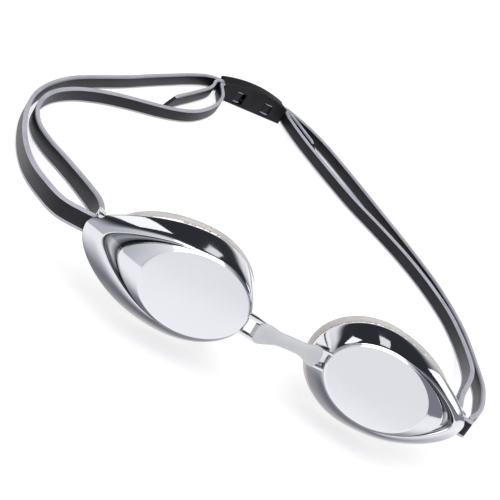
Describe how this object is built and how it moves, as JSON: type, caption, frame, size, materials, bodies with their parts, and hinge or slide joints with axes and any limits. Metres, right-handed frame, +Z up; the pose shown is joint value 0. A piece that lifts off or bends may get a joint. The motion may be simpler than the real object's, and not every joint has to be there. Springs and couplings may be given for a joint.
{
  "type": "swim goggles",
  "caption": "Low-profile racing swim goggles: two mirrored lens cups with soft gaskets, nose bridge, split silicone strap and back clip, lying with the strap spread.",
  "frame": {"origin": "bottom centre of the bounding box, on the table the goggles lie on", "axes": "+X to the viewer's right when looking at the lenses, -Y the way the lenses face, +Z up from the table; the strap runs back along +Y. Nodes named left are on the -X side."},
  "size_m": [0.206, 0.2584, 0.0358],
  "materials": {
    "lens": "moulded polycarbonate with a silver mirror coating",
    "gasket": "translucent off-white silicone, satin",
    "bridge": "frosted translucent elastomer",
    "strap": "satin silicone, black centre stripe with light grey edges",
    "clip": "fine matt black moulding"
  },
  "bodies": {
    "bridge": {"nose_bridge": "bridge"},
    "left_cup": {"left_lens": "lens", "left_gasket": "gasket", "left_strap_loop": "strap"},
    "right_cup": {"right_lens": "lens", "right_gasket": "gasket", "right_strap_loop": "strap"},
    "strap": {"left_front_strand": "strap", "left_rear_strand": "strap", "right_front_strand": "strap", "right_rear_strand": "strap"},
    "clip": {"back_clip": "clip", "clip_centre_run": "strap", "left_clip_turn": "strap", "right_clip_turn": "strap"},
    "left_tail": {"left_strap_tail": "strap"},
    "right_tail": {"right_strap_tail": "strap"}
  },
  "joints": [
    {"name": "left_cup_hinge", "type": "hinge", "parent": "bridge", "child": "left_cup", "pos_m": [-0.01474, -0.125, 0.02244], "axis": [-0.0076, 0.2418, 0.9703], "range_deg": [-8, 8], "stiffness_Nm_per_rad": 0.02},
    {"name": "right_cup_hinge", "type": "hinge", "parent": "bridge", "child": "right_cup", "pos_m": [0.00437, -0.12183, 0.02244], "axis": [0.0412, 0.2384, 0.9703], "range_deg": [-8, 8], "stiffness_Nm_per_rad": 0.02},
    {"name": "strap_swing", "type": "hinge", "parent": "bridge", "child": "strap", "pos_m": [-0.0053, -0.1088, 0.01923], "axis": [1, 0, 0], "range_deg": [-12, 20], "deforming": ["left_front_strand", "left_rear_strand", "right_front_strand", "right_rear_strand"]},
    {"name": "strap_adjust", "type": "slide", "parent": "strap", "child": "clip", "axis": [0, -1, 0], "range_m": [0, 0.012]},
    {"name": "left_tail_slide", "type": "slide", "parent": "clip", "child": "left_tail", "axis": [-0.4197, -0.9077, 0], "range_m": [0, 0.024], "deforming": ["left_strap_tail"]},
    {"name": "right_tail_slide", "type": "slide", "parent": "clip", "child": "right_tail", "axis": [0.5856, -0.8106, 0], "range_m": [0, 0.024], "deforming": ["right_strap_tail"]}
  ],
  "couplings": [
    {"joint": "left_tail_slide", "follows": "strap_adjust", "ratio": 2},
    {"joint": "right_tail_slide", "follows": "strap_adjust", "ratio": 2}
  ]
}
